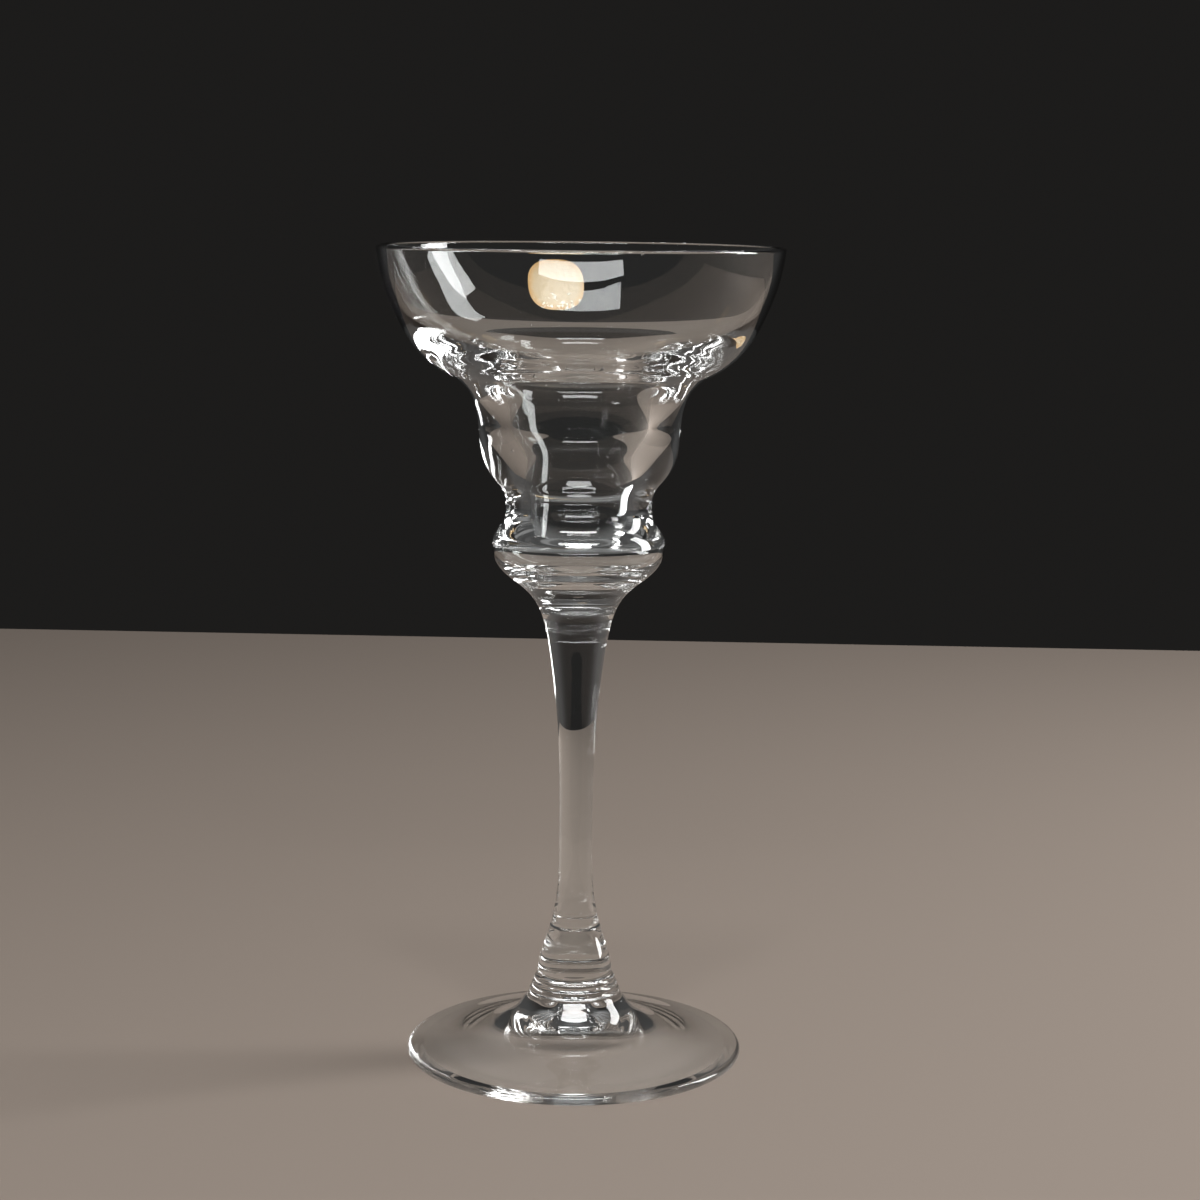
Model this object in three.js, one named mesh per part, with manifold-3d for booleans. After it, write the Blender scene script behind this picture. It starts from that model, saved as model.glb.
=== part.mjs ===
// Sherbet glass on a tall stem: a stepped bowl, a drawn stem, its base, a collar and a foot,
// welded end to end, with a small paper label on the bowl. Millimetres, +Z up, and the origin
// is on the table under the axis. The glass pieces meet face to face at their welds.
import * as THREE from "three";
import { mergeVertices } from "three/addons/utils/BufferGeometryUtils.js";
import Module from "manifold-3d";

// Foot: a shallow cone with a rounded edge, standing on a flat ring, and flaring up to the collar
// in the middle. It is hollow underneath, and the hollow rises to a small peak under the stem.
const FOOT_RADIUS = 38.7;
const FOOT_EDGE = 2.2;
const FOOT_HEIGHT = 13;
const FOOT_SLOPE = 8;
const BRIM_WIDTH = 12.7;
const BRIM_HEIGHT = 4.5;
const BRIM_SLOPE = 9.5;
const FLARE_REACH = 4.2;
const FLARE_HEIGHT = 8.4;
const FLARE_SLOPE = 32;
const REST_RING_WIDTH = 3;
const HOLLOW_END_SLOPE = 6;
const HOLLOW_WIDTH = 16.7;
const HOLLOW_HEIGHT = 2.5;
const HOLLOW_SLOPE = 15;
const KICK_INSET = 2.3;
const KICK_HEIGHT = 6.7;
const KICK_SLOPE = 19;
const PEAK_RADIUS = 3.5;
const PEAK_SIDE_HEIGHT = 8.8;
const PEAK_SLOPE = 48;
const PEAK_HEIGHT = 10.8;

// Collar: the glass between the foot and the stem's base, a cove under a stack of fine rings
const COLLAR_HEIGHT = 5.5;
const COLLAR_FOOT_RADIUS = 11.3;
const COLLAR_FOOT_LEAN = -38;
const COLLAR_COVE_RADIUS = 10.45;
const COLLAR_COVE_RISE = 1.2;
const COLLAR_TOP_RADIUS = 8.75;
const COLLAR_RINGS = 3;
const COLLAR_RING_BULGE = 0.3;

// Stem base: the cone that the collar carries, its lower end rounded off, a little wider than the stem on it
const BASE_HEIGHT = 11.9;
const BASE_RADIUS = 8.5;
const BASE_LEAN = -5;
const BASE_TUCK = 0.5;
const BASE_ROUND = 1.6;
const BASE_LEDGE = 0.5;

// Stem: drawn thin a third of the way up, wider at both welds
const STEM_LENGTH = 70.6;
const STEM_FOOT_RADIUS = 5.4;
const STEM_FOOT_LEAN = -12;
const STEM_THIN_RADIUS = 3.8;
const STEM_THIN_RISE = 21.6;
const STEM_SWELL_RADIUS = 6.2;
const STEM_SWELL_DROP = 7.4;
const STEM_SWELL_LEAN = 8;
const STEM_TOP_RADIUS = 7.65;
const STEM_TOP_LEAN = 14;

// Bowl, outside: its forms from the stem up, each with its rise above the one below and its lean
const TAPER_RADIUS = 14.2;
const TAPER_RISE = 9.6;
const TAPER_LEAN = 53.6;
const BULGE_RADIUS = 19.5;
const BULGE_RISE = 7.9;
const FLANK_RADIUS = 17.95;
const FLANK_RISE = 4.4;
const FLANK_LEAN = -43;
const WAIST_RADIUS = 16.5;
const WAIST_RISE = 4.75;
const STEP_RADIUS = 18.8;
const STEP_RISE = 5.75;
const STEP_LEAN = 43;
const BARREL_RADIUS = 22.8;
const BARREL_RISE = 12.9;
const BARREL_LEAN = 4.6;
const SHOULDER_RADIUS = 28.8;
const SHOULDER_RISE = 10.8;
const SHOULDER_LEAN = 64;
const COUPE_RADIUS = 41.8;
const COUPE_RISE = 14.6;
const COUPE_LEAN = 23.6;
const RIM_RADIUS = 45.6;
const RIM_RISE = 13.6;
const RIM_LEAN = 8.3;

// Bowl, inside: the thickness of the glass at each form, and where the inside turns between them.
// The bulge is blown thin; the neck and the barrel above it are thick. The coupe's wall tapers to the rim.
const FLOOR_THICKNESS = 12;
const HEEL_WALL = 3.2;
const HEEL_RISE = 1.7;
const HEEL_LEAN = 52;
const BULGE_WALL = 1.3;
const VAULT_WALL = 3.9;
const VAULT_RISE = 2.9;
const VAULT_LEAN = -60;
const NECK_WALL = 5.8;
const NECK_RISE = 1.6;
const FUNNEL_WALL = 6.2;
const FUNNEL_RISE = 4.4;
const FUNNEL_LEAN = 23;
const BARREL_WALL = 7.2;
const SHOULDER_WALL = 4.6;
const COUPE_WALL = 2.3;
const COUPE_TAPER = 4;
const RIM_WALL = 1.3;

// Label: a small rounded paper label and its adhesive, on the outside of the bowl at the back
const LABEL_WIDTH = 13.9;
const LABEL_TALL = 12.8;
const LABEL_BELOW_RIM = 13.6;
const LABEL_TURN = 8.6;
const LABEL_SQUARENESS = 2.6;
const ADHESIVE_THICKNESS = 0.12;
const PAPER_THICKNESS = 0.22;
const LABEL_GAP = 0.1;

// Fineness of the round faces
const SEGMENTS = 56;
const WALL_STEPS = 4;
const END_STEPS = 5;
const RING_STEPS = 4;
const LABEL_POINTS = 36;
const HANDLE_SHARE = 0.39;

const CLEAR_GLASS = { color: 0xe9f0ef, roughness: 0.04, metalness: 0, transparent: true, opacity: 0.35 };
const AGED_PAPER = { color: 0xe2cfa4, roughness: 0.8, metalness: 0 };
const AMBER_GLUE = { color: 0xd9a763, roughness: 0.5, metalness: 0 };

// Heights above the table: the welds, then the forms of the bowl
const COLLAR_SEAT = FOOT_HEIGHT;
const BASE_SEAT = COLLAR_SEAT + COLLAR_HEIGHT;
const STEM_SEAT = BASE_SEAT + BASE_HEIGHT;
const BOWL_SEAT = STEM_SEAT + STEM_LENGTH;
const TAPER_AT = BOWL_SEAT + TAPER_RISE;
const BULGE_AT = TAPER_AT + BULGE_RISE;
const FLANK_AT = BULGE_AT + FLANK_RISE;
const WAIST_AT = FLANK_AT + WAIST_RISE;
const STEP_AT = WAIST_AT + STEP_RISE;
const BARREL_AT = STEP_AT + BARREL_RISE;
const SHOULDER_AT = BARREL_AT + SHOULDER_RISE;
const COUPE_AT = SHOULDER_AT + COUPE_RISE;
const RIM_AT = COUPE_AT + RIM_RISE;

const { Manifold, Mesh: SolidMesh } = await loadSolids();

async function loadSolids() {
  const wasm = await Module();
  wasm.setup();
  return wasm;
}

// One station of a wall. Lean is the wall's angle to the axis in degrees as it rises:
// 0 is upright, positive opens outwards and 90 runs flat outwards.
function station(radius, height, lean) {
  const angle = THREE.MathUtils.degToRad(lean);
  const along = new THREE.Vector2(Math.sin(angle), Math.cos(angle));
  return { at: new THREE.Vector2(radius, height), along };
}

// The station on the other side of a wall of this thickness, leaning out by so many degrees more.
function across(outer, thickness, taper = 0) {
  const inwards = new THREE.Vector2(-outer.along.y, outer.along.x);
  const along = outer.along.clone().rotateAround(onAxis(0), -THREE.MathUtils.degToRad(taper));
  return { at: outer.at.clone().addScaledVector(inwards, thickness), along };
}

// A smooth wall through its stations, one cubic curve from each to the next.
function wall(...stations) {
  const points = [stations[0].at];
  for (let i = 1; i < stations.length; i += 1) {
    const [from, to] = [stations[i - 1], stations[i]];
    const reach = from.at.distanceTo(to.at) * HANDLE_SHARE;
    const leave = from.at.clone().addScaledVector(from.along, reach);
    const arrive = to.at.clone().addScaledVector(to.along, -reach);
    const curve = new THREE.CubicBezierCurve(from.at, leave, arrive, to.at);
    points.push(...curve.getPoints(WALL_STEPS).slice(1));
  }
  return points;
}

// The points of a half circle between two ends, counterclockwise from the first to the second.
function roundedEnd(from, to) {
  const middle = from.clone().add(to).multiplyScalar(0.5);
  const turns = Array.from({ length: END_STEPS - 1 }, (_, i) => (Math.PI * (i + 1)) / END_STEPS);
  return turns.map((turn) => from.clone().rotateAround(middle, turn));
}

function onAxis(height) {
  return new THREE.Vector2(0, height);
}

// A solid of revolution about the glass's axis.
function turned(outline) {
  return new THREE.LatheGeometry(outline, SEGMENTS).rotateX(Math.PI / 2);
}

function piece(name, geometry, look) {
  const mesh = new THREE.Mesh(geometry, new THREE.MeshStandardMaterial(look));
  mesh.name = name;
  return mesh;
}

const footSeat = station(COLLAR_FOOT_RADIUS, COLLAR_SEAT, COLLAR_FOOT_LEAN);
const stemFoot = station(STEM_FOOT_RADIUS, STEM_SEAT, STEM_FOOT_LEAN);
const stemTop = station(STEM_TOP_RADIUS, BOWL_SEAT, STEM_TOP_LEAN);

function foot() {
  const restOuter = FOOT_RADIUS - FOOT_EDGE / 2;
  const restInner = restOuter - REST_RING_WIDTH;
  const hollow = wall(
    station(0, PEAK_HEIGHT, 90),
    station(PEAK_RADIUS, PEAK_SIDE_HEIGHT, 90 + PEAK_SLOPE),
    station(COLLAR_FOOT_RADIUS - KICK_INSET, KICK_HEIGHT, 90 + KICK_SLOPE),
    station(FOOT_RADIUS - HOLLOW_WIDTH, HOLLOW_HEIGHT, 90 + HOLLOW_SLOPE),
    station(restInner, 0, 90 + HOLLOW_END_SLOPE),
  );
  const low = new THREE.Vector2(restOuter, 0);
  const edge = station(restOuter, FOOT_EDGE, FOOT_SLOPE - 90);
  const brim = station(FOOT_RADIUS - BRIM_WIDTH, BRIM_HEIGHT, BRIM_SLOPE - 90);
  const flare = station(COLLAR_FOOT_RADIUS + FLARE_REACH, FLARE_HEIGHT, FLARE_SLOPE - 90);
  const top = wall(edge, brim, flare, footSeat);
  return turned([...hollow, low, ...roundedEnd(low, edge.at), ...top, onAxis(COLLAR_SEAT)]);
}

// The collar's rings, from its cove up to the stem's base: a bead and a groove for each.
function collarRings(from, to) {
  return Array.from({ length: COLLAR_RINGS * RING_STEPS }, (_, i) => {
    const share = (i + 1) / (COLLAR_RINGS * RING_STEPS);
    const bead = COLLAR_RING_BULGE * Math.abs(Math.sin(Math.PI * COLLAR_RINGS * share));
    return from.clone().lerp(to, share).add(new THREE.Vector2(bead, 0));
  });
}

function collar() {
  const cove = station(COLLAR_COVE_RADIUS, COLLAR_SEAT + COLLAR_COVE_RISE, COLLAR_FOOT_LEAN);
  const top = new THREE.Vector2(COLLAR_TOP_RADIUS, BASE_SEAT);
  const side = [...wall(footSeat, cove), ...collarRings(cove.at, top)];
  return turned([onAxis(COLLAR_SEAT), ...side, onAxis(BASE_SEAT)]);
}

function stemBase() {
  const under = station(BASE_RADIUS - BASE_TUCK, BASE_SEAT, 75);
  const bottom = station(BASE_RADIUS, BASE_SEAT + BASE_ROUND, BASE_LEAN);
  const ledge = station(STEM_FOOT_RADIUS + BASE_LEDGE, STEM_SEAT, STEM_FOOT_LEAN);
  return turned([onAxis(BASE_SEAT), ...wall(under, bottom, ledge), onAxis(STEM_SEAT)]);
}

function stem() {
  const thin = station(STEM_THIN_RADIUS, STEM_SEAT + STEM_THIN_RISE, 0);
  const swell = station(STEM_SWELL_RADIUS, BOWL_SEAT - STEM_SWELL_DROP, STEM_SWELL_LEAN);
  return turned([onAxis(STEM_SEAT), ...wall(stemFoot, thin, swell, stemTop), onAxis(BOWL_SEAT)]);
}

const taper = station(TAPER_RADIUS, TAPER_AT, TAPER_LEAN);
const bulge = station(BULGE_RADIUS, BULGE_AT, 0);
const flank = station(FLANK_RADIUS, FLANK_AT, FLANK_LEAN);
const waist = station(WAIST_RADIUS, WAIST_AT, 0);
const step = station(STEP_RADIUS, STEP_AT, STEP_LEAN);
const barrel = station(BARREL_RADIUS, BARREL_AT, BARREL_LEAN);
const shoulder = station(SHOULDER_RADIUS, SHOULDER_AT, SHOULDER_LEAN);
const coupe = station(COUPE_RADIUS, COUPE_AT, COUPE_LEAN);
const rim = station(RIM_RADIUS, RIM_AT, RIM_LEAN);

function bowl() {
  const outside = wall(stemTop, taper, bulge, flank, waist, step, barrel, shoulder, coupe, rim);
  const floorAt = BOWL_SEAT + FLOOR_THICKNESS;
  const inside = wall(
    station(0, floorAt, 90),
    station(BULGE_RADIUS - HEEL_WALL, floorAt + HEEL_RISE, HEEL_LEAN),
    across(bulge, BULGE_WALL),
    station(BULGE_RADIUS - VAULT_WALL, BULGE_AT + VAULT_RISE, VAULT_LEAN),
    station(WAIST_RADIUS - NECK_WALL, WAIST_AT + NECK_RISE, 0),
    station(STEP_RADIUS - FUNNEL_WALL, STEP_AT + FUNNEL_RISE, FUNNEL_LEAN),
    across(barrel, BARREL_WALL),
    across(shoulder, SHOULDER_WALL, COUPE_TAPER),
    across(coupe, COUPE_WALL, COUPE_TAPER),
    across(rim, RIM_WALL, COUPE_TAPER),
  ).reverse();
  return turned([onAxis(BOWL_SEAT), ...outside, ...roundedEnd(rim.at, inside[0]), ...inside]);
}

function solidOf(geometry) {
  const bare = geometry.clone().deleteAttribute("normal").deleteAttribute("uv");
  const merged = mergeVertices(bare);
  const mesh = { numProp: 3, vertProperties: merged.attributes.position.array, triVerts: merged.index.array };
  return new Manifold(new SolidMesh(mesh));
}

function geometryOf(solid) {
  const { vertProperties, triVerts } = solid.getMesh();
  const geometry = new THREE.BufferGeometry();
  geometry.setAttribute("position", new THREE.BufferAttribute(vertProperties, 3));
  return geometry.setIndex(new THREE.BufferAttribute(triVerts, 1));
}

// A shell round the coupe, its inner face this far out from the glass.
function coat(gap, thickness) {
  const inner = wall(shoulder, coupe, rim).map((p) => p.clone().add(new THREE.Vector2(gap, 0)));
  const outer = inner.map((p) => p.clone().add(new THREE.Vector2(thickness, 0)));
  return turned([...outer, ...inner.reverse(), outer[0]]);
}

// The label's outline, a square with bowed sides and round corners, drawn out through the back of the bowl.
function labelPrism() {
  const bow = (value, half) => half * Math.sign(value) * Math.abs(value) ** (2 / LABEL_SQUARENESS);
  const outline = new THREE.Shape();
  for (let i = 0; i < LABEL_POINTS; i += 1) {
    const angle = (2 * Math.PI * i) / LABEL_POINTS;
    const [x, y] = [bow(Math.cos(angle), LABEL_WIDTH / 2), bow(Math.sin(angle), LABEL_TALL / 2)];
    if (i === 0) outline.moveTo(x, y);
    else outline.lineTo(x, y);
  }
  const prism = new THREE.ExtrudeGeometry(outline, { depth: 2 * RIM_RADIUS, bevelEnabled: false });
  prism.rotateX(Math.PI / 2).rotateZ(Math.PI + THREE.MathUtils.degToRad(LABEL_TURN));
  return prism.translate(0, 0, RIM_AT - LABEL_BELOW_RIM);
}

function labelLayer(gap, thickness) {
  return geometryOf(solidOf(coat(gap, thickness)).intersect(solidOf(labelPrism())));
}

const glass = new THREE.Group();
glass.add(
  piece("foot", foot(), CLEAR_GLASS),
  piece("collar", collar(), CLEAR_GLASS),
  piece("stem_base", stemBase(), CLEAR_GLASS),
  piece("stem", stem(), CLEAR_GLASS),
  piece("bowl", bowl(), CLEAR_GLASS),
  piece("label_adhesive", labelLayer(LABEL_GAP, ADHESIVE_THICKNESS), AMBER_GLUE),
  piece("label_paper", labelLayer(2 * LABEL_GAP + ADHESIVE_THICKNESS, PAPER_THICKNESS), AGED_PAPER),
);

export default glass;
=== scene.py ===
import math

import bpy
from mathutils import Matrix, Vector


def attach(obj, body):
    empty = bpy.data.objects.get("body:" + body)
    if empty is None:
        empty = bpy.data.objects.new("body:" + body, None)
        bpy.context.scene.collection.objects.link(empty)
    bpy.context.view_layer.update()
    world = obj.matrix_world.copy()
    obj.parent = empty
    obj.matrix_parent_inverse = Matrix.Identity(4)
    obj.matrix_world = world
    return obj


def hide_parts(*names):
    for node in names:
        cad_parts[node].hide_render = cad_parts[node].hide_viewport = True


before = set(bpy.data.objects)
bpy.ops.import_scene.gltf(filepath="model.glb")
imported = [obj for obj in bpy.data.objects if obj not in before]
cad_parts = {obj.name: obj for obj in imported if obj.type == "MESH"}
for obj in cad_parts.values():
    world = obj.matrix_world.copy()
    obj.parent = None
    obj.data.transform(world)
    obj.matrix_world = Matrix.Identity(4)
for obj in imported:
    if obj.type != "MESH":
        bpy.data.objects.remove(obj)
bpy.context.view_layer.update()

# Foot: a disc of clear glass spun into a shallow cone while it was soft, with its edge rounded in the flame.
# It is hollow underneath and stands on a narrow ring. The hollow rises
# slowly and ends in a small peak under the stem, which throws a bright crown on the foot.
MM = 0.001
FOOT_RADIUS = 38.7
FOOT_EDGE = 2.2
FOOT_SLOPE = 8
BRIM_RADIUS, BRIM_HEIGHT, BRIM_SLOPE = 26, 4.5, 9.5
FLARE_RADIUS, FLARE_HEIGHT, FLARE_SLOPE = 15.5, 8.4, 32
REST_RING_WIDTH = 3
HOLLOW_END_SLOPE = 6
HOLLOW_RADIUS, HOLLOW_HEIGHT, HOLLOW_SLOPE = 22, 2.5, 15
KICK_RADIUS, KICK_HEIGHT, KICK_SLOPE = 9, 6.7, 19
PEAK_RADIUS, PEAK_SIDE_HEIGHT, PEAK_SLOPE = 3.5, 8.8, 48
PEAK_HEIGHT = 10.8
COLLAR_SEAT = 13
COLLAR_FOOT_RADIUS = 11.3
COLLAR_FOOT_LEAN = -38
SLICES = 216
WALL_STEPS = 20
END_STEPS = 16
END_HOLD = 0.08
HANDLE_SHARE = 0.39
CREASE = math.radians(32)
WELD_FLAT, WELD_NEAR = 0.999, 1e-5
GLASS_IOR = 1.52
CLEAR = (0.985, 0.995, 0.99, 1)
CLEAR_COOL = (0.965, 0.985, 0.982, 1)
CORD_SCALE, CORD_DEPTH = 130, 0.0006
SEED_SCALE, SEED_DEPTH, SEED_STRENGTH = 75, 0.0002, 0.35
SEED_CORE, SEED_EDGE = 0.012, 0.03
SMEAR_SCALE, SMEAR_ROUGHNESS = 55, 0.05
SMEAR_FROM, SMEAR_FULL = 0.55, 0.8
SPUN_FLOW, SPUN_RIPPLE = (1, 1, 1), 0.006


def station(radius, height, lean):
    """One station of a wall in millimetres. Lean is the wall's angle to the axis as it rises."""
    angle = math.radians(lean)
    return Vector((radius, height)), Vector((math.sin(angle), math.cos(angle)))


def across(outer, thickness, taper=0):
    """The station on the other side of a wall of this thickness, leaning out by so many degrees more."""
    at, along = outer
    lean = Matrix.Rotation(-math.radians(taper), 2)
    return at + thickness * Vector((-along.y, along.x)), lean @ along


def wall(*stations):
    """The points of a smooth wall through its stations, with one more close to each end to hold it straight."""
    points = [stations[0][0]]
    for (start, leaving), (end, arriving) in zip(stations, stations[1:]):
        reach = HANDLE_SHARE * (end - start).length
        first, second = start + reach * leaving, end - reach * arriving
        for step in range(1, WALL_STEPS + 1):
            t = step / WALL_STEPS
            u = 1 - t
            points.append(u**3 * start + 3 * u * u * t * first + 3 * u * t * t * second + t**3 * end)
    points.insert(1, points[0].lerp(points[1], END_HOLD))
    points.insert(-1, points[-1].lerp(points[-2], END_HOLD))
    return points


def rounded_end(start, end):
    """The points of a half circle between two ends of a wall."""
    middle = (start + end) / 2
    turns = [math.pi * step / END_STEPS for step in range(1, END_STEPS)]
    return [middle + Matrix.Rotation(turn, 2) @ (start - middle) for turn in turns]


def turn_outline(name, outline):
    """Draws an outline point by point in the XZ plane and spins it about the glass's axis."""
    bpy.ops.object.select_all(action="DESELECT")
    bpy.ops.mesh.primitive_plane_add(size=MM, location=(outline[0].x * MM, 0, outline[0].y * MM))
    turned = bpy.context.object
    turned.name = turned.data.name = name
    bpy.ops.object.transform_apply(location=True, rotation=True, scale=True)
    bpy.ops.object.mode_set(mode="EDIT")
    bpy.ops.mesh.select_all(action="SELECT")
    bpy.ops.mesh.merge(type="CENTER")
    for here, there in zip(outline, outline[1:]):
        move = (there - here) * MM
        bpy.ops.mesh.extrude_vertices_move(TRANSFORM_OT_translate={"value": (move.x, 0, move.y)})
    bpy.ops.mesh.select_all(action="SELECT")
    bpy.ops.mesh.spin(steps=SLICES, angle=2 * math.pi, center=(0, 0, 0), axis=(0, 0, 1))
    bpy.ops.mesh.select_all(action="SELECT")
    bpy.ops.mesh.remove_doubles(threshold=2e-6)
    bpy.ops.mesh.normals_make_consistent(inside=False)
    bpy.ops.object.mode_set(mode="OBJECT")
    bpy.ops.object.shade_smooth_by_angle(angle=CREASE)
    return turned


def clear_glass(name, flow, ripple):
    """Polished clear glass. Flow is the scale of its ripples along X, Y and Z, ripple their strength."""
    material = bpy.data.materials.new(name)
    material.use_nodes = True
    nodes, links = material.node_tree.nodes, material.node_tree.links
    shader = nodes["Principled BSDF"]
    shader.inputs["Transmission Weight"].default_value = 1
    shader.inputs["IOR"].default_value = GLASS_IOR
    place = nodes.new("ShaderNodeTexCoord")
    stretch = nodes.new("ShaderNodeMapping")
    stretch.inputs["Scale"].default_value = flow
    links.new(place.outputs["Object"], stretch.inputs["Vector"])
    cords = nodes.new("ShaderNodeTexNoise")
    cords.inputs["Scale"].default_value = CORD_SCALE
    cords.inputs["Detail"].default_value = 2.5
    cords.inputs["Roughness"].default_value = 0.4
    links.new(stretch.outputs["Vector"], cords.inputs["Vector"])
    seeds = nodes.new("ShaderNodeTexVoronoi")
    seeds.inputs["Scale"].default_value = SEED_SCALE
    links.new(place.outputs["Object"], seeds.inputs["Vector"])
    seed = nodes.new("ShaderNodeMapRange")
    seed.inputs["From Min"].default_value = SEED_CORE
    seed.inputs["From Max"].default_value = SEED_EDGE
    seed.inputs["To Min"].default_value = 1
    seed.inputs["To Max"].default_value = 0
    links.new(seeds.outputs["Distance"], seed.inputs["Value"])
    skin = nodes.new("ShaderNodeBump")
    skin.inputs["Strength"].default_value = ripple
    skin.inputs["Distance"].default_value = CORD_DEPTH
    links.new(cords.outputs["Fac"], skin.inputs["Height"])
    speck = nodes.new("ShaderNodeBump")
    speck.inputs["Strength"].default_value = SEED_STRENGTH
    speck.inputs["Distance"].default_value = SEED_DEPTH
    links.new(seed.outputs["Result"], speck.inputs["Height"])
    links.new(skin.outputs["Normal"], speck.inputs["Normal"])
    links.new(speck.outputs["Normal"], shader.inputs["Normal"])
    tint = nodes.new("ShaderNodeMix")
    tint.data_type = "RGBA"
    tint.inputs["A"].default_value = CLEAR
    tint.inputs["B"].default_value = CLEAR_COOL
    links.new(cords.outputs["Fac"], tint.inputs["Factor"])
    links.new(tint.outputs["Result"], shader.inputs["Base Color"])
    film = nodes.new("ShaderNodeTexNoise")
    film.inputs["Scale"].default_value = SMEAR_SCALE
    film.inputs["Detail"].default_value = 5
    links.new(place.outputs["Object"], film.inputs["Vector"])
    smear = nodes.new("ShaderNodeMapRange")
    smear.inputs["From Min"].default_value = SMEAR_FROM
    smear.inputs["From Max"].default_value = SMEAR_FULL
    smear.inputs["To Min"].default_value = 0
    smear.inputs["To Max"].default_value = SMEAR_ROUGHNESS
    links.new(film.outputs["Fac"], smear.inputs["Value"])
    links.new(smear.outputs["Result"], shader.inputs["Roughness"])
    return material


fused = bpy.data.materials.new("fused_weld")
fused.use_nodes = True
fused.node_tree.nodes.remove(fused.node_tree.nodes["Principled BSDF"])
through = fused.node_tree.nodes.new("ShaderNodeBsdfTransparent")
fused.node_tree.links.new(through.outputs["BSDF"], fused.node_tree.nodes["Material Output"].inputs["Surface"])


def finish_glass(turned, material, node, *welds):
    """Gives a turned piece its glass, with nothing to see at its welds, each a height and a radius."""
    turned.data.materials.append(material)
    turned.data.materials.append(fused)
    for face in turned.data.polygons:
        flat = abs(face.normal.z) > WELD_FLAT
        for height, radius in welds:
            level = abs(face.center.z - height * MM) < WELD_NEAR
            if flat and level and face.center.xy.length < radius * MM:
                face.material_index = 1
    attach(turned, "root")
    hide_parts(node)


rest_outer = FOOT_RADIUS - FOOT_EDGE / 2
rest_edge = Vector((rest_outer, 0))
foot_edge = station(rest_outer, FOOT_EDGE, FOOT_SLOPE - 90)
foot_seat = station(COLLAR_FOOT_RADIUS, COLLAR_SEAT, COLLAR_FOOT_LEAN)
foot_hollow = wall(
    station(0, PEAK_HEIGHT, 90),
    station(PEAK_RADIUS, PEAK_SIDE_HEIGHT, 90 + PEAK_SLOPE),
    station(KICK_RADIUS, KICK_HEIGHT, 90 + KICK_SLOPE),
    station(HOLLOW_RADIUS, HOLLOW_HEIGHT, 90 + HOLLOW_SLOPE),
    station(rest_outer - REST_RING_WIDTH, 0, 90 + HOLLOW_END_SLOPE),
)
foot_top = wall(
    foot_edge,
    station(BRIM_RADIUS, BRIM_HEIGHT, BRIM_SLOPE - 90),
    station(FLARE_RADIUS, FLARE_HEIGHT, FLARE_SLOPE - 90),
    foot_seat,
)
foot_rim = rounded_end(rest_edge, foot_edge[0])
rest_ring = [foot_hollow[-1].lerp(rest_edge, share) for share in (END_HOLD / 2, 1 - END_HOLD / 2, 1)]
foot = turn_outline("foot_glass", [*foot_hollow, *rest_ring, *foot_rim, *foot_top, Vector((0, COLLAR_SEAT))])
spun_glass = clear_glass("spun_glass", SPUN_FLOW, SPUN_RIPPLE)
finish_glass(foot, spun_glass, "foot", (COLLAR_SEAT, COLLAR_FOOT_RADIUS))
foot.visible_shadow = False  # light passes through the clear foot to the table

# Collar: a short length of glass between the foot and the stem's base, with a cove at the bottom
# and three fine rings above, left by the jaws that shaped it. Glass, fused to its neighbours.
BASE_SEAT = 18.5
BASE_FOOT_RADIUS = 8
COVE_RADIUS = 10.45
COVE_RISE = 1.2
COLLAR_TOP_RADIUS = 8.75
COLLAR_RINGS = 3
RING_BULGE = 0.3
RING_STEPS = 8

cove = station(COVE_RADIUS, COLLAR_SEAT + COVE_RISE, COLLAR_FOOT_LEAN)
collar_top = Vector((COLLAR_TOP_RADIUS, BASE_SEAT))
collar_outline = [Vector((0, COLLAR_SEAT)), *wall(foot_seat, cove)]
for step in range(1, COLLAR_RINGS * RING_STEPS + 1):
    share = step / (COLLAR_RINGS * RING_STEPS)
    bead = RING_BULGE * abs(math.sin(math.pi * COLLAR_RINGS * share))
    collar_outline.append(cove[0].lerp(collar_top, share) + Vector((bead, 0)))
collar_outline += [Vector((BASE_FOOT_RADIUS, BASE_SEAT)), Vector((0, BASE_SEAT))]
collar = turn_outline("collar_glass", collar_outline)
finish_glass(collar, spun_glass, "collar", (COLLAR_SEAT, COLLAR_FOOT_RADIUS), (BASE_SEAT, BASE_FOOT_RADIUS))

# Stem base: a small cone of glass with its lower end rounded off, so that a dark crease runs round it
# where it is fused to the collar. Its upper end stops in a small rounded ledge that the stem is fused to.
STEM_SEAT = 30.4
STEM_FOOT_RADIUS = 5.4
BASE_FOOT_LEAN = 75
BASE_RADIUS = 8.5
BASE_ROUND = 1.6
BASE_LEAN = -5
LEDGE_RADIUS = 5.95
LEDGE_DROP = 0.7
LEDGE_LEAN = -12
LEDGE_END_LEAN = -60

ledge = station(LEDGE_RADIUS, STEM_SEAT - LEDGE_DROP, LEDGE_LEAN)
base_outline = [Vector((0, BASE_SEAT))]
base_outline += wall(
    station(BASE_FOOT_RADIUS, BASE_SEAT, BASE_FOOT_LEAN),
    station(BASE_RADIUS, BASE_SEAT + BASE_ROUND, BASE_LEAN),
    ledge,
    station(STEM_FOOT_RADIUS, STEM_SEAT, LEDGE_END_LEAN),
)
stem_base = turn_outline("stem_base_glass", [*base_outline, Vector((0, STEM_SEAT))])
finish_glass(stem_base, spun_glass, "stem_base", (BASE_SEAT, BASE_FOOT_RADIUS), (STEM_SEAT, STEM_FOOT_RADIUS))

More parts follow.
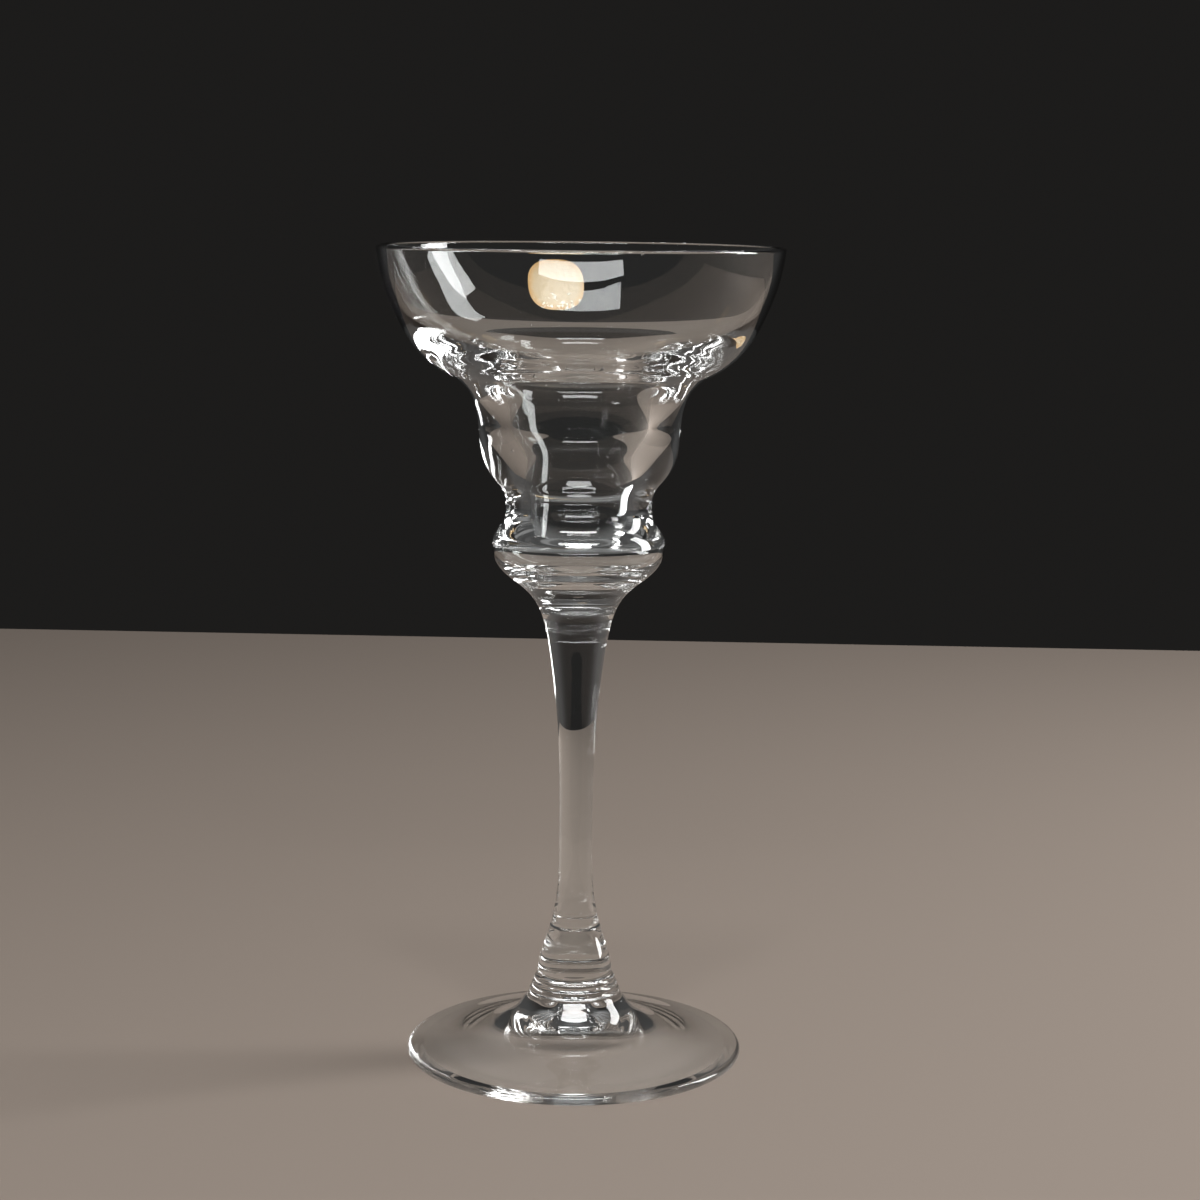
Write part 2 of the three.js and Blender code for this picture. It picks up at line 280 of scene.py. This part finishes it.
# Stem: a gather of glass drawn out by hand, thinnest a third of the way up and swelling towards the
# bowl. The drawing leaves faint streaks that run along it. Glass, fused at both ends.
BOWL_SEAT = 101
STEM_FOOT_LEAN = 12
STEM_SIDE_RADIUS, STEM_SIDE_RISE, STEM_SIDE_LEAN = 5.42, 0.8, -12
STEM_THIN_RADIUS, STEM_THIN_AT = 3.8, 52
STEM_SWELL_RADIUS, STEM_SWELL_AT, STEM_SWELL_LEAN = 6.2, 93.6, 8
STEM_TOP_RADIUS = 7.65
STEM_TOP_LEAN = 14
DRAWN_FLOW, DRAWN_RIPPLE = (2.2, 2.2, 0.12), 0.06

stem_top = station(STEM_TOP_RADIUS, BOWL_SEAT, STEM_TOP_LEAN)
stem_side = wall(
    station(STEM_FOOT_RADIUS, STEM_SEAT, STEM_FOOT_LEAN),
    station(STEM_SIDE_RADIUS, STEM_SEAT + STEM_SIDE_RISE, STEM_SIDE_LEAN),
    station(STEM_THIN_RADIUS, STEM_THIN_AT, 0),
    station(STEM_SWELL_RADIUS, STEM_SWELL_AT, STEM_SWELL_LEAN),
    stem_top,
)
stem = turn_outline("stem_glass", [Vector((0, STEM_SEAT)), *stem_side, Vector((0, BOWL_SEAT))])
drawn_glass = clear_glass("drawn_glass", DRAWN_FLOW, DRAWN_RIPPLE)
finish_glass(stem, drawn_glass, "stem", (STEM_SEAT, STEM_FOOT_RADIUS), (BOWL_SEAT, STEM_TOP_RADIUS))

# Bowl: one piece of blown glass in a wide coupe, a barrel, a waist and a bulge. The bulge and the coupe are thin,
# the barrel and the neck inside it thick. It is open at the top, with its lip rounded in the flame, and fused below.
TAPER_RADIUS, TAPER_AT, TAPER_LEAN = 14.2, 110.6, 53.6
BULGE_RADIUS, BULGE_AT = 19.5, 118.5
FLANK_RADIUS, FLANK_AT, FLANK_LEAN = 17.95, 122.9, -43
WAIST_RADIUS, WAIST_AT = 16.5, 127.65
SWELL_RADIUS, SWELL_AT, SWELL_LEAN = 18.8, 133.4, 43
BARREL_RADIUS, BARREL_AT, BARREL_LEAN = 22.8, 146.3, 4.6
SHOULDER_RADIUS, SHOULDER_AT, SHOULDER_LEAN = 28.8, 157.1, 64
COUPE_RADIUS, COUPE_AT, COUPE_LEAN = 41.8, 171.7, 23.6
RIM_RADIUS, RIM_AT, RIM_LEAN = 45.6, 185.3, 8.3
WELL_AT = 113
BASIN_RADIUS, BASIN_AT, BASIN_LEAN = 16.3, 114.7, 52
VAULT_RADIUS, VAULT_AT, VAULT_LEAN = 15.6, 121.4, -60
NECK_RADIUS, NECK_AT = 10.7, 129.25
FUNNEL_RADIUS, FUNNEL_AT, FUNNEL_LEAN = 12.6, 137.8, 23
BULGE_WALL = 1.3
BARREL_WALL = 7.2
SHOULDER_WALL = 4.6
COUPE_WALL = 2.3
RIM_WALL = 1.3
COUPE_TAPER = 4
BLOWN_FLOW, BLOWN_RIPPLE = (1, 1, 0.6), 0.004

bulge = station(BULGE_RADIUS, BULGE_AT, 0)
barrel = station(BARREL_RADIUS, BARREL_AT, BARREL_LEAN)
shoulder = station(SHOULDER_RADIUS, SHOULDER_AT, SHOULDER_LEAN)
coupe = station(COUPE_RADIUS, COUPE_AT, COUPE_LEAN)
rim = station(RIM_RADIUS, RIM_AT, RIM_LEAN)
outside = wall(
    stem_top,
    station(TAPER_RADIUS, TAPER_AT, TAPER_LEAN),
    bulge,
    station(FLANK_RADIUS, FLANK_AT, FLANK_LEAN),
    station(WAIST_RADIUS, WAIST_AT, 0),
    station(SWELL_RADIUS, SWELL_AT, SWELL_LEAN),
    barrel,
    shoulder,
    coupe,
    rim,
)
inside = wall(
    station(0, WELL_AT, 90),
    station(BASIN_RADIUS, BASIN_AT, BASIN_LEAN),
    across(bulge, BULGE_WALL),
    station(VAULT_RADIUS, VAULT_AT, VAULT_LEAN),
    station(NECK_RADIUS, NECK_AT, 0),
    station(FUNNEL_RADIUS, FUNNEL_AT, FUNNEL_LEAN),
    across(barrel, BARREL_WALL),
    across(shoulder, SHOULDER_WALL, COUPE_TAPER),
    across(coupe, COUPE_WALL, COUPE_TAPER),
    across(rim, RIM_WALL, COUPE_TAPER),
)
lip = rounded_end(outside[-1], inside[-1])
bowl = turn_outline("bowl_glass", [Vector((0, BOWL_SEAT)), *outside, *lip, *reversed(inside)])
blown_glass = clear_glass("blown_glass", BLOWN_FLOW, BLOWN_RIPPLE)
finish_glass(bowl, blown_glass, "bowl", (BOWL_SEAT, STEM_TOP_RADIUS))
bowl.visible_shadow = False  # light passes through the clear bowl to the label

# Label adhesive: the film under the paper, seen through the back of the coupe. It has yellowed with age,
# turned amber round its edge, and let go of the glass in small pale pockets near the bottom.
LABEL_WIDTH = 13.9
LABEL_TALL = 12.8
LABEL_AT = 171.7
LABEL_TURN = math.radians(8.6)
LABEL_SQUARENESS = 2.6
LABEL_GAP = 0.1
ADHESIVE_THICKNESS = 0.12
LABEL_POINTS = 72
LABEL_RINGS = 9
GLUE_CREAM = (0.61, 0.45, 0.255, 1)
GLUE_AMBER = (0.62, 0.34, 0.1, 1)
GLUE_POCKET = (0.78, 0.72, 0.58, 1)
POCKET_SCALE = 900
POCKET_TOP, POCKET_LOW = 0.002, -0.005
POCKET_RARE, POCKET_OFTEN = -0.35, 0.08
POCKET_FROM, POCKET_FULL = 0.56, 0.66
BLOTCH_SCALE, BLOTCH_REACH = 420, 0.5
BROWN_FROM, BROWN_FULL = 0.7, 1.3
GLUE_SHINE, GLUE_DULL = 0.3, 0.65
BLISTER_STRENGTH, BLISTER_DEPTH = 0.4, 0.0002
WETTED_SLOT = 2
WETTED_WIDE, WETTED_TALL = 1.4, 0.6


def label_layer(name, gap, thickness):
    """A rounded layer of the label, laid on the outside of the coupe at the back of the bowl."""
    bpy.ops.object.select_all(action="DESELECT")
    middle = Vector((0, 1.3 * rim[0].x * MM, LABEL_AT * MM))
    bpy.ops.mesh.primitive_circle_add(vertices=LABEL_POINTS, radius=MM, location=middle, rotation=(math.pi / 2, 0, 0))
    layer = bpy.context.object
    layer.name = layer.data.name = name
    bpy.ops.object.transform_apply(location=True, rotation=True, scale=True)
    for vertex in layer.data.vertices:
        out = (vertex.co - middle).normalized()
        bow = (abs(out.x) ** LABEL_SQUARENESS + abs(out.z) ** LABEL_SQUARENESS) ** (-1 / LABEL_SQUARENESS)
        vertex.co = middle + bow * Vector((out.x * LABEL_WIDTH, 0, out.z * LABEL_TALL)) * MM / 2
    bpy.ops.object.mode_set(mode="EDIT")
    bpy.ops.mesh.select_all(action="SELECT")
    for ring in range(LABEL_RINGS, 1, -1):
        bpy.ops.mesh.extrude_edges_move()
        bpy.ops.transform.resize(value=[(ring - 1) / ring] * 3, center_override=middle)
    bpy.ops.mesh.extrude_edges_move()
    bpy.ops.mesh.merge(type="CENTER")
    bpy.ops.object.mode_set(mode="OBJECT")
    bpy.ops.object.modifier_add(type="SHRINKWRAP")
    lay = layer.modifiers["Shrinkwrap"]
    lay.target = bowl
    lay.wrap_method = "PROJECT"
    lay.use_project_y = True
    lay.use_negative_direction = True
    lay.use_positive_direction = False
    lay.offset = gap * MM
    bpy.ops.object.modifier_apply(modifier="Shrinkwrap")
    bpy.ops.object.mode_set(mode="EDIT")
    bpy.ops.mesh.select_all(action="SELECT")
    bpy.ops.mesh.normals_make_consistent(inside=False)
    bpy.ops.object.mode_set(mode="OBJECT")
    if sum(face.normal.y for face in layer.data.polygons) < 0:
        layer.data.flip_normals()
    bpy.ops.object.modifier_add(type="SOLIDIFY")
    layer.modifiers["Solidify"].thickness = thickness * MM
    layer.modifiers["Solidify"].offset = 1
    bpy.ops.object.modifier_apply(modifier="Solidify")
    layer.data.transform(Matrix.Rotation(LABEL_TURN, 4, "Z"))
    bpy.ops.object.shade_smooth_by_angle(angle=CREASE)
    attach(layer, "root")
    return layer


def label_place(nodes, links):
    """Object coordinates with the label's middle at their origin, how far out a point is (1 at the edge), and Z."""
    place = nodes.new("ShaderNodeTexCoord")
    level = nodes.new("ShaderNodeMapping")
    level.inputs["Rotation"].default_value = (0, 0, -LABEL_TURN)
    level.inputs["Location"].default_value = (0, 0, -LABEL_AT * MM)
    links.new(place.outputs["Object"], level.inputs["Vector"])
    split = nodes.new("ShaderNodeSeparateXYZ")
    links.new(level.outputs["Vector"], split.inputs["Vector"])
    parts = []
    for axis, half in (("X", LABEL_WIDTH / 2), ("Z", LABEL_TALL / 2)):
        share = nodes.new("ShaderNodeMath")
        share.operation = "MULTIPLY"
        share.inputs[1].default_value = 1 / (half * MM)
        links.new(split.outputs[axis], share.inputs[0])
        positive = nodes.new("ShaderNodeMath")
        positive.operation = "ABSOLUTE"
        links.new(share.outputs["Value"], positive.inputs[0])
        bowed = nodes.new("ShaderNodeMath")
        bowed.operation = "POWER"
        bowed.inputs[1].default_value = LABEL_SQUARENESS
        links.new(positive.outputs["Value"], bowed.inputs[0])
        parts.append(bowed)
    out = nodes.new("ShaderNodeMath")
    out.operation = "ADD"
    links.new(parts[0].outputs["Value"], out.inputs[0])
    links.new(parts[1].outputs["Value"], out.inputs[1])
    return level.outputs["Vector"], out.outputs["Value"], split.outputs["Z"]


def loose_pockets(nodes, links, place, height):
    """How far the film has let go of the glass, and where it has done so, mostly towards its lower edge."""
    pockets = nodes.new("ShaderNodeTexNoise")
    pockets.inputs["Scale"].default_value = POCKET_SCALE
    pockets.inputs["Detail"].default_value = 3
    links.new(place, pockets.inputs["Vector"])
    lower = nodes.new("ShaderNodeMapRange")
    lower.inputs["From Min"].default_value = POCKET_TOP
    lower.inputs["From Max"].default_value = POCKET_LOW
    lower.inputs["To Min"].default_value = POCKET_RARE
    lower.inputs["To Max"].default_value = POCKET_OFTEN
    links.new(height, lower.inputs["Value"])
    loose = nodes.new("ShaderNodeMath")
    loose.operation = "ADD"
    links.new(pockets.outputs["Fac"], loose.inputs[0])
    links.new(lower.outputs["Result"], loose.inputs[1])
    let_go = nodes.new("ShaderNodeMapRange")
    let_go.inputs["From Min"].default_value = POCKET_FROM
    let_go.inputs["From Max"].default_value = POCKET_FULL
    links.new(loose.outputs["Value"], let_go.inputs["Value"])
    return loose, let_go


adhesive = label_layer("label_adhesive_film", LABEL_GAP, ADHESIVE_THICKNESS)
aged_glue = bpy.data.materials.new("aged_adhesive")
aged_glue.use_nodes = True
nodes, links = aged_glue.node_tree.nodes, aged_glue.node_tree.links
shader = nodes["Principled BSDF"]
shader.inputs["Specular IOR Level"].default_value = 0.5
place, outness, height = label_place(nodes, links)
blotch = nodes.new("ShaderNodeTexNoise")
blotch.inputs["Scale"].default_value = BLOTCH_SCALE
blotch.inputs["Detail"].default_value = 4
links.new(place, blotch.inputs["Vector"])
ragged = nodes.new("ShaderNodeMath")
ragged.operation = "MULTIPLY_ADD"
ragged.inputs[1].default_value = BLOTCH_REACH
links.new(blotch.outputs["Fac"], ragged.inputs[0])
links.new(outness, ragged.inputs[2])
browning = nodes.new("ShaderNodeMapRange")
browning.interpolation_type = "SMOOTHSTEP"
browning.inputs["From Min"].default_value = BROWN_FROM
browning.inputs["From Max"].default_value = BROWN_FULL
links.new(ragged.outputs["Value"], browning.inputs["Value"])
yellowed = nodes.new("ShaderNodeMix")
yellowed.data_type = "RGBA"
yellowed.inputs["A"].default_value = GLUE_CREAM
yellowed.inputs["B"].default_value = GLUE_AMBER
links.new(browning.outputs["Result"], yellowed.inputs["Factor"])
loose, let_go = loose_pockets(nodes, links, place, height)
glue_colour = nodes.new("ShaderNodeMix")
glue_colour.data_type = "RGBA"
glue_colour.inputs["B"].default_value = GLUE_POCKET
links.new(let_go.outputs["Result"], glue_colour.inputs["Factor"])
links.new(yellowed.outputs["Result"], glue_colour.inputs["A"])
links.new(glue_colour.outputs["Result"], shader.inputs["Base Color"])
dulled = nodes.new("ShaderNodeMapRange")
dulled.inputs["To Min"].default_value = GLUE_SHINE
dulled.inputs["To Max"].default_value = GLUE_DULL
links.new(let_go.outputs["Result"], dulled.inputs["Value"])
links.new(dulled.outputs["Result"], shader.inputs["Roughness"])
blistered = nodes.new("ShaderNodeBump")
blistered.inputs["Strength"].default_value = BLISTER_STRENGTH
blistered.inputs["Distance"].default_value = BLISTER_DEPTH
links.new(loose.outputs["Value"], blistered.inputs["Height"])
links.new(blistered.outputs["Normal"], shader.inputs["Normal"])
adhesive.data.materials.append(aged_glue)
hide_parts("label_adhesive")

# Where the film holds there is no air between it and the glass, so the bowl's outer face doesn't shine there.
wetted = blown_glass.copy()
wetted.name = "wetted_glass"
nodes, links = wetted.node_tree.nodes, wetted.node_tree.links
place, outness, height = label_place(nodes, links)
loose, let_go = loose_pockets(nodes, links, place, height)
under = nodes.new("ShaderNodeMath")
under.operation = "LESS_THAN"
under.inputs[1].default_value = 1
links.new(outness, under.inputs[0])
held = nodes.new("ShaderNodeMath")
held.operation = "SUBTRACT"
held.use_clamp = True
links.new(under.outputs["Value"], held.inputs[0])
links.new(let_go.outputs["Result"], held.inputs[1])
no_shine = nodes.new("ShaderNodeBsdfRefraction")
no_shine.inputs["Color"].default_value = CLEAR
no_shine.inputs["Roughness"].default_value = 0
no_shine.inputs["IOR"].default_value = GLASS_IOR
contact = nodes.new("ShaderNodeMixShader")
links.new(held.outputs["Value"], contact.inputs["Fac"])
links.new(nodes["Principled BSDF"].outputs["BSDF"], contact.inputs[1])
links.new(no_shine.outputs["BSDF"], contact.inputs[2])
links.new(contact.outputs["Shader"], nodes["Material Output"].inputs["Surface"])
bowl.data.materials.append(wetted)
for face in bowl.data.polygons:
    facing_out = face.normal.xy.dot(face.center.xy) > 0
    behind = face.center.y > 0 and abs(face.center.x) < WETTED_WIDE * LABEL_WIDTH * MM
    if facing_out and behind and abs(face.center.z - LABEL_AT * MM) < LABEL_TALL * MM * WETTED_TALL:
        face.material_index = WETTED_SLOT

# Label paper: a small blank label of uncoated paper with rounded corners, stuck to the outside of the
# coupe. It is creamy with age, soiled round the edge and a little foxed, with the fibres just showing.
PAPER_GAP = 2 * LABEL_GAP + ADHESIVE_THICKNESS
PAPER_THICKNESS = 0.22
PAPER_CREAM = (0.74, 0.62, 0.43, 1)
PAPER_SOILED = (0.50, 0.35, 0.19, 1)
PAPER_FOXED = (0.46, 0.29, 0.13, 1)
FIBRE_SCALE, FIBRE_CURL = 2600, 1.2
STAIN_SCALE, STAIN_REACH = 300, 0.7
SOIL_FROM, SOIL_FULL = 0.75, 1.45
SPOT_SCALE = 760
FOX_FROM, FOX_FULL, FOX_MOST = 0.64, 0.76, 0.7
PAPER_SMOOTH, PAPER_ROUGH = 0.7, 0.92
FUZZ_STRENGTH, FUZZ_DEPTH = 0.35, 0.0001

paper = label_layer("label_paper_sheet", PAPER_GAP, PAPER_THICKNESS)
aged_paper = bpy.data.materials.new("label_paper")
aged_paper.use_nodes = True
nodes, links = aged_paper.node_tree.nodes, aged_paper.node_tree.links
shader = nodes["Principled BSDF"]
shader.inputs["Specular IOR Level"].default_value = 0.25
place, outness, height = label_place(nodes, links)
fibres = nodes.new("ShaderNodeTexNoise")
fibres.inputs["Scale"].default_value = FIBRE_SCALE
fibres.inputs["Detail"].default_value = 6
fibres.inputs["Distortion"].default_value = FIBRE_CURL
links.new(place, fibres.inputs["Vector"])
stain = nodes.new("ShaderNodeTexNoise")
stain.inputs["Scale"].default_value = STAIN_SCALE
stain.inputs["Detail"].default_value = 3
links.new(place, stain.inputs["Vector"])
worn = nodes.new("ShaderNodeMath")
worn.operation = "MULTIPLY_ADD"
worn.inputs[1].default_value = STAIN_REACH
links.new(stain.outputs["Fac"], worn.inputs[0])
links.new(outness, worn.inputs[2])
soiling = nodes.new("ShaderNodeMapRange")
soiling.interpolation_type = "SMOOTHSTEP"
soiling.inputs["From Min"].default_value = SOIL_FROM
soiling.inputs["From Max"].default_value = SOIL_FULL
links.new(worn.outputs["Value"], soiling.inputs["Value"])
soiled = nodes.new("ShaderNodeMix")
soiled.data_type = "RGBA"
soiled.inputs["A"].default_value = PAPER_CREAM
soiled.inputs["B"].default_value = PAPER_SOILED
links.new(soiling.outputs["Result"], soiled.inputs["Factor"])
spots = nodes.new("ShaderNodeTexNoise")
spots.inputs["Scale"].default_value = SPOT_SCALE
spots.inputs["Detail"].default_value = 2
links.new(place, spots.inputs["Vector"])
foxing = nodes.new("ShaderNodeMapRange")
foxing.inputs["From Min"].default_value = FOX_FROM
foxing.inputs["From Max"].default_value = FOX_FULL
foxing.inputs["To Max"].default_value = FOX_MOST
links.new(spots.outputs["Fac"], foxing.inputs["Value"])
foxed = nodes.new("ShaderNodeMix")
foxed.data_type = "RGBA"
foxed.inputs["B"].default_value = PAPER_FOXED
links.new(foxing.outputs["Result"], foxed.inputs["Factor"])
links.new(soiled.outputs["Result"], foxed.inputs["A"])
links.new(foxed.outputs["Result"], shader.inputs["Base Color"])
matt = nodes.new("ShaderNodeMapRange")
matt.inputs["To Min"].default_value = PAPER_SMOOTH
matt.inputs["To Max"].default_value = PAPER_ROUGH
links.new(fibres.outputs["Fac"], matt.inputs["Value"])
links.new(matt.outputs["Result"], shader.inputs["Roughness"])
fuzz = nodes.new("ShaderNodeBump")
fuzz.inputs["Strength"].default_value = FUZZ_STRENGTH
fuzz.inputs["Distance"].default_value = FUZZ_DEPTH
links.new(fibres.outputs["Fac"], fuzz.inputs["Height"])
links.new(fuzz.outputs["Normal"], shader.inputs["Normal"])
paper.data.materials.append(aged_paper)
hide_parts("label_paper")

# Floor: the plain pale top that the glass stands on. It ends behind the glass, as a table does, and the
# room beyond it is dark, which is what makes clear glass show.
FLOOR_FRONT = 0.18
FLOOR_BACK = 0.545
FLOOR_WIDTH = 1.3
FLOOR_DROP = 0.0002
FLOOR_TURN = math.radians(-3)
FLOOR_PALE = (0.28, 0.232, 0.197, 1)
FLOOR_ROUGHNESS, FLOOR_SHINE = 0.75, 0.2

bpy.ops.object.select_all(action="DESELECT")
floor_middle = (0, (FLOOR_BACK - FLOOR_FRONT) / 2, -FLOOR_DROP)
bpy.ops.mesh.primitive_plane_add(size=1, location=floor_middle, rotation=(0, 0, FLOOR_TURN))
floor = bpy.context.object
floor.name = floor.data.name = "floor"
floor.scale = (FLOOR_WIDTH, FLOOR_BACK + FLOOR_FRONT, 1)
bpy.ops.object.transform_apply(location=True, rotation=True, scale=True)
pale_top = bpy.data.materials.new("pale_top")
pale_top.use_nodes = True
shader = pale_top.node_tree.nodes["Principled BSDF"]
shader.inputs["Base Color"].default_value = FLOOR_PALE
shader.inputs["Roughness"].default_value = FLOOR_ROUGHNESS
shader.inputs["Specular IOR Level"].default_value = FLOOR_SHINE
floor.data.materials.append(pale_top)

# Room: dark, with a cloth behind the glass, faint light at the sides and a soft glow on the wall above the cloth.
ROOM_DARK = (0.012, 0.0115, 0.011, 1)
ROOM_FAINT = (0.06, 0.06, 0.06, 1)
ROOM_GLOW = (0.25, 0.25, 0.25, 1)
CLOTH_EDGE, CLOTH_FADE = math.radians(15), math.radians(40)
GLOW_RISE = math.radians(46)
GLOW_CORE, GLOW_FADE = math.radians(6), math.radians(32)

room = bpy.data.worlds.new("room")
bpy.context.scene.world = room
room.use_nodes = True
nodes, links = room.node_tree.nodes, room.node_tree.links
view = nodes.new("ShaderNodeTexCoord")
cloth = nodes.new("ShaderNodeVectorMath")
cloth.operation = "DOT_PRODUCT"
cloth.inputs[1].default_value = (0, 1, 0)
links.new(view.outputs["Generated"], cloth.inputs[0])
beside = nodes.new("ShaderNodeMapRange")
beside.interpolation_type = "SMOOTHSTEP"
beside.inputs["From Min"].default_value = math.cos(CLOTH_EDGE)
beside.inputs["From Max"].default_value = math.cos(CLOTH_FADE)
links.new(cloth.outputs["Value"], beside.inputs["Value"])
walls = nodes.new("ShaderNodeMix")
walls.data_type = "RGBA"
walls.inputs["A"].default_value = ROOM_DARK
walls.inputs["B"].default_value = ROOM_FAINT
links.new(beside.outputs["Result"], walls.inputs["Factor"])
above = nodes.new("ShaderNodeVectorMath")
above.operation = "DOT_PRODUCT"
above.inputs[1].default_value = (0, math.cos(GLOW_RISE), math.sin(GLOW_RISE))
links.new(view.outputs["Generated"], above.inputs[0])
glow = nodes.new("ShaderNodeMapRange")
glow.interpolation_type = "SMOOTHSTEP"
glow.inputs["From Min"].default_value = math.cos(GLOW_FADE)
glow.inputs["From Max"].default_value = math.cos(GLOW_CORE)
links.new(above.outputs["Value"], glow.inputs["Value"])
lit_wall = nodes.new("ShaderNodeMix")
lit_wall.data_type = "RGBA"
lit_wall.inputs["B"].default_value = ROOM_GLOW
links.new(walls.outputs["Result"], lit_wall.inputs["A"])
links.new(glow.outputs["Result"], lit_wall.inputs["Factor"])
links.new(lit_wall.outputs["Result"], nodes["Background"].inputs["Color"])

# Lamps: a wide soft panel over the camera and a tall one that stands at the right. Each has its place,
# the point it is aimed at, its width and height, and its power.
LAMPS = (
    ("front_panel", (0, -0.6835, 0.893), (0, 0.041, 0.175), (0.86, 0.205), 10.2),
    ("right_panel", (0.78, 0.16, 0.47), (0, 0, 0.47), (0.26, 0.76), 9),
)

for name, spot, aim, (wide, tall), power in LAMPS:
    turn = (Vector(aim) - Vector(spot)).to_track_quat("-Z", "Y").to_euler()
    bpy.ops.object.light_add(type="AREA", location=spot, rotation=turn)
    lamp = bpy.context.object
    lamp.name = lamp.data.name = name
    lamp.data.shape = "RECTANGLE"
    lamp.data.size, lamp.data.size_y = wide, tall
    lamp.data.energy = power
    lamp.visible_camera = False

# Camera: where the photograph was taken from, a little above the rim and turned slightly.
CAMERA_AT = (0, -0.5697, 0.1988)
CAMERA_PITCH = math.radians(9.224)
CAMERA_ROLL = math.radians(0.621)
CAMERA_YAW = math.radians(0.502)
CAMERA_LENS = 76.185
SENSOR = 36

level_view = Matrix.Rotation(math.pi / 2 - CAMERA_PITCH, 3, "X")
look = Matrix.Rotation(-CAMERA_YAW, 3, "Z") @ level_view @ Matrix.Rotation(CAMERA_ROLL, 3, "Z")
bpy.ops.object.camera_add(location=CAMERA_AT, rotation=look.to_euler())
camera = bpy.context.object
camera.data.lens = CAMERA_LENS
camera.data.sensor_width = SENSOR
camera.data.clip_start = 0.01
scene = bpy.context.scene
scene.camera = camera
scene.view_settings.view_transform = "Standard"
scene.cycles.caustics_refractive = False  # the lamps already light the table and the label through the glass
scene.cycles.max_bounces = 24
scene.cycles.transmission_bounces = 24
scene.cycles.glossy_bounces = 16
scene.cycles.transparent_max_bounces = 24
